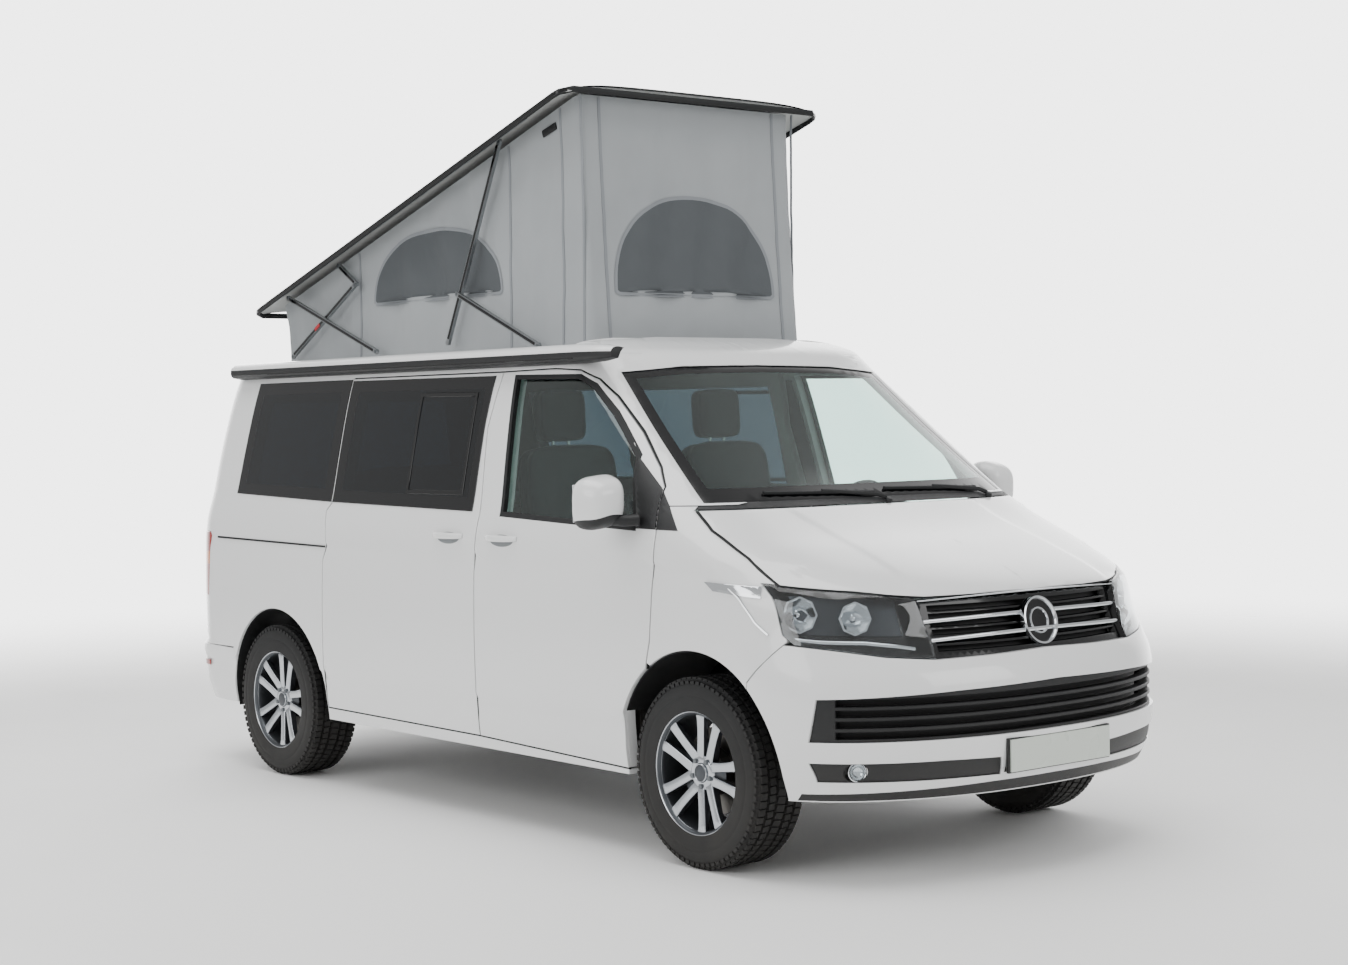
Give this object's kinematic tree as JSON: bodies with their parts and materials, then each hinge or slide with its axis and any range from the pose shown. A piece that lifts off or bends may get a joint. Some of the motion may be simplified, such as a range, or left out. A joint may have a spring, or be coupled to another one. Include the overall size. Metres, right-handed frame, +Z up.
{
  "type": "camper van",
  "caption": "Camper van with a raised pop-up roof and tent, roof linkage, side awning, hinged doors, tailgate and bonnet, and steered wheels.",
  "frame": {"origin": "on the ground under the middle of the van's box", "axes": "+X points forward, +Y to the van's left, +Z up"},
  "size_m": [4.902, 2.2856, 2.9582],
  "materials": {
    "white_paint": "gloss",
    "dark_structure": "satin",
    "cast_engine": "rough",
    "black_plastic": "fine grain",
    "gloss_black": "gloss",
    "lamp_clear": "clear",
    "clear_glass": "tinted clear",
    "privacy_glass": "dark tint",
    "tail_lamp_red": "gloss",
    "dash_plastic": "grain",
    "seat_fabric": "woven",
    "cabinet_laminate": "satin",
    "plate_blank": "satin",
    "tent_cloth": "woven",
    "mirror_black": "satin",
    "link_aluminium": "anodised",
    "tyre_rubber": "matte",
    "rim_alloy": "machined",
    "steel_parts": "rough"
  },
  "bodies": {
    "van_body": {"side_frame_right": "white_paint", "side_frame_left": "white_paint", "roof_shell": "white_paint", "floor_pan": "dark_structure", "front_structure": "dark_structure", "engine_block": "cast_engine", "front_wings": "white_paint", "front_bumper": "white_paint", "bumper_grille": "black_plastic", "radiator_grille": "gloss_black", "headlights": "lamp_clear", "windscreen": "clear_glass", "cowl_and_wipers": "black_plastic", "side_glass": "privacy_glass", "sliding_door": "white_paint", "sliding_door_glass": "privacy_glass", "awning": "black_plastic", "rear_bumper": "white_paint", "tail_lights": "tail_lamp_red", "dashboard": "dash_plastic", "front_seats": "seat_fabric", "rear_bench": "seat_fabric", "kitchen_cabinet": "cabinet_laminate", "front_suspension": "steel_parts", "rear_axle": "steel_parts", "exhaust_and_tank": "steel_parts", "number_plates": "plate_blank", "tent_canvas": "tent_cloth"},
    "steering_wheel": {"steering_wheel": "dash_plastic"},
    "front_door_right": {"front_door_right": "white_paint", "front_door_glass_right": "clear_glass", "mirror_right": "mirror_black"},
    "front_door_left": {"front_door_left": "white_paint", "front_door_glass_left": "clear_glass", "mirror_left": "mirror_black"},
    "tailgate": {"tailgate": "white_paint", "tailgate_glass": "privacy_glass"},
    "bonnet": {"bonnet": "white_paint"},
    "roof_panel": {"roof_panel": "white_paint"},
    "roof_braces": {"roof_braces": "link_aluminium"},
    "roof_main_arms": {"roof_main_arms": "link_aluminium"},
    "rear_links_lower": {"rear_links_lower": "link_aluminium"},
    "rear_links_upper": {"rear_links_upper": "link_aluminium"},
    "rear_short_links": {"rear_short_links": "link_aluminium"},
    "knuckle_right": {"knuckle_right": "steel_parts"},
    "knuckle_left": {"knuckle_left": "steel_parts"},
    "front_wheel_right": {"front_tyre_right": "tyre_rubber", "front_rim_right": "rim_alloy"},
    "front_wheel_left": {"front_tyre_left": "tyre_rubber", "front_rim_left": "rim_alloy"},
    "rear_wheel_right": {"rear_tyre_right": "tyre_rubber", "rear_rim_right": "rim_alloy"},
    "rear_wheel_left": {"rear_tyre_left": "tyre_rubber", "rear_rim_left": "rim_alloy"}
  },
  "joints": [
    {"name": "steer_left", "type": "hinge", "parent": "van_body", "child": "knuckle_left", "pos_m": [1.544, 0.79, 0.345], "axis": [0, 0, -1], "range_deg": [-33, 33]},
    {"name": "steer_right", "type": "hinge", "parent": "van_body", "child": "knuckle_right", "pos_m": [1.544, -0.79, 0.345], "axis": [0, 0, -1], "range_deg": [-33, 33]},
    {"name": "steering_wheel_turn", "type": "hinge", "parent": "van_body", "child": "steering_wheel", "pos_m": [1.124, 0.43, 1.09], "axis": [0.8829, 0, -0.4695], "range_deg": [-462, 462]},
    {"name": "front_wheel_left_spin", "type": "hinge", "parent": "knuckle_left", "child": "front_wheel_left", "pos_m": [1.544, 0.814, 0.345], "axis": [0, 1, 0], "continuous": true},
    {"name": "front_wheel_right_spin", "type": "hinge", "parent": "knuckle_right", "child": "front_wheel_right", "pos_m": [1.544, -0.814, 0.345], "axis": [0, 1, 0], "continuous": true},
    {"name": "rear_wheel_left_spin", "type": "hinge", "parent": "van_body", "child": "rear_wheel_left", "pos_m": [-1.456, 0.814, 0.345], "axis": [0, 1, 0], "continuous": true},
    {"name": "rear_wheel_right_spin", "type": "hinge", "parent": "van_body", "child": "rear_wheel_right", "pos_m": [-1.456, -0.814, 0.345], "axis": [0, 1, 0], "continuous": true},
    {"name": "front_door_right_hinge", "type": "hinge", "parent": "van_body", "child": "front_door_right", "pos_m": [1.353, -0.957, 1], "axis": [0, 0, 1], "range_deg": [0, 65]},
    {"name": "front_door_left_hinge", "type": "hinge", "parent": "van_body", "child": "front_door_left", "pos_m": [1.353, 0.957, 1], "axis": [0, 0, 1], "range_deg": [-65, 0]},
    {"name": "tailgate_hinge", "type": "hinge", "parent": "van_body", "child": "tailgate", "pos_m": [-2.275, 0, 1.838], "axis": [0, 1, 0], "range_deg": [0, 85]},
    {"name": "bonnet_hinge", "type": "hinge", "parent": "van_body", "child": "bonnet", "pos_m": [1.4, 0, 1.3], "axis": [0, -1, 0], "range_deg": [0, 50]},
    {"name": "roof_hinge", "type": "hinge", "parent": "van_body", "child": "roof_panel", "pos_m": [-2.833, 0, 2.22], "axis": [0, 1, 0], "range_deg": [0, 17.06], "deforming": ["tent_canvas"]},
    {"name": "roof_brace_hinge", "type": "hinge", "parent": "van_body", "child": "roof_braces", "pos_m": [0.235, 0, 1.919], "axis": [0, -1, 0], "range_deg": [0, 22.41]},
    {"name": "roof_arm_hinge", "type": "hinge", "parent": "roof_braces", "child": "roof_main_arms", "pos_m": [-0.34931, 0, 2.15984], "axis": [0, 1, 0], "range_deg": [0, 85.91]},
    {"name": "rear_link_lower_hinge", "type": "hinge", "parent": "van_body", "child": "rear_links_lower", "pos_m": [-1.788, 0, 1.938], "axis": [0, 1, 0], "range_deg": [0, 28.31]},
    {"name": "rear_link_upper_hinge", "type": "hinge", "parent": "van_body", "child": "rear_links_upper", "pos_m": [-1.013, 0, 1.936], "axis": [0, -1, 0], "range_deg": [0, 19.91]},
    {"name": "rear_short_link_hinge", "type": "hinge", "parent": "roof_panel", "child": "rear_short_links", "pos_m": [-1.37711, 0, 2.34669], "axis": [0, -1, 0], "range_deg": [0, 53.71]}
  ],
  "couplings": [
    {"joint": "steer_right", "follows": "steer_left", "ratio": 1},
    {"joint": "steering_wheel_turn", "follows": "steer_left", "ratio": 14},
    {"joint": "roof_brace_hinge", "follows": "roof_hinge", "ratio": 1.313},
    {"joint": "roof_arm_hinge", "follows": "roof_hinge", "ratio": 5.0352},
    {"joint": "rear_link_lower_hinge", "follows": "roof_hinge", "ratio": 1.6588},
    {"joint": "rear_link_upper_hinge", "follows": "roof_hinge", "ratio": 1.1665},
    {"joint": "rear_short_link_hinge", "follows": "roof_hinge", "ratio": 3.1477}
  ]
}
